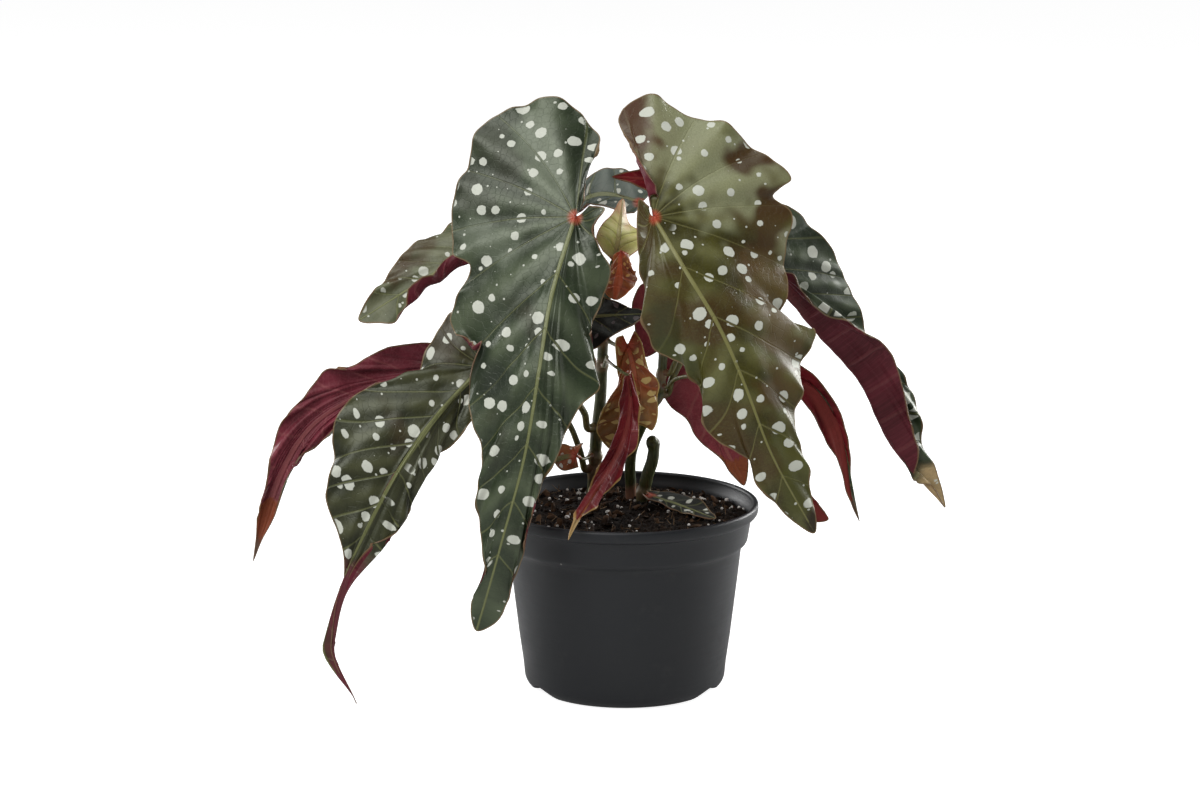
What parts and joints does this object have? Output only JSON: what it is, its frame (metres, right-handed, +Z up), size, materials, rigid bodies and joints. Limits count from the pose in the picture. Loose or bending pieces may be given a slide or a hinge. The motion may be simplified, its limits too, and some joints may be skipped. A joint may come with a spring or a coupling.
{
  "type": "potted begonia plant",
  "caption": "Cane begonia with white-spotted angel wing leaves, maroon undersides and slim stems, growing in a black plastic nursery pot.",
  "frame": {"origin": "middle of the flat underside of the pot", "axes": "+Z up along the pot's axis; -Y towards the viewer, where the two large front leaves hang; +X to the viewer's right"},
  "size_m": [0.3132, 0.132, 0.268],
  "materials": {
    "pot": "satin black injection-moulded polypropylene",
    "soil": "moist peat potting soil, rough",
    "cane": "smooth olive green stem",
    "stalk": "smooth olive brown leaf stalk",
    "green": "waxy green leaf with white spots",
    "olive": "waxy olive bronze leaf with white spots",
    "maroon": "satin maroon leaf",
    "young": "glossy young orange red leaf",
    "sheath": "thin pale yellow green stipule"
  },
  "bodies": {
    "root": {"baby_leaf": "young", "baby_stalk": "stalk", "bud_sheath": "sheath", "cane_main": "cane", "cane_second": "cane", "cane_thin": "cane", "leaf_back_sliver": "maroon", "leaf_centre_right": "maroon", "leaf_dark_centre": "green", "leaf_far_left": "maroon", "leaf_front_left": "green", "leaf_front_right": "olive", "leaf_low_red": "young", "leaf_lower_left": "green", "leaf_on_soil": "green", "leaf_right_back": "green", "leaf_thin_right": "maroon", "leaf_tip_red": "maroon", "leaf_upper_back": "green", "leaf_upper_left": "green", "leaf_young_keel": "maroon", "leaf_young_spotted": "young", "nursery_pot": "pot", "potting_soil": "soil", "stalk_back_sliver": "stalk", "stalk_centre_right": "stalk", "stalk_dark_centre": "stalk", "stalk_far_left": "stalk", "stalk_front_left": "stalk", "stalk_front_right": "stalk", "stalk_low_red": "stalk", "stalk_lower_left": "stalk", "stalk_on_soil": "stalk", "stalk_right_back": "stalk", "stalk_thin_right": "stalk", "stalk_tip_red": "stalk", "stalk_upper_back": "stalk", "stalk_upper_left": "stalk", "stalk_young_keel": "stalk", "stalk_young_spotted": "stalk"}
  },
  "joints": []
}
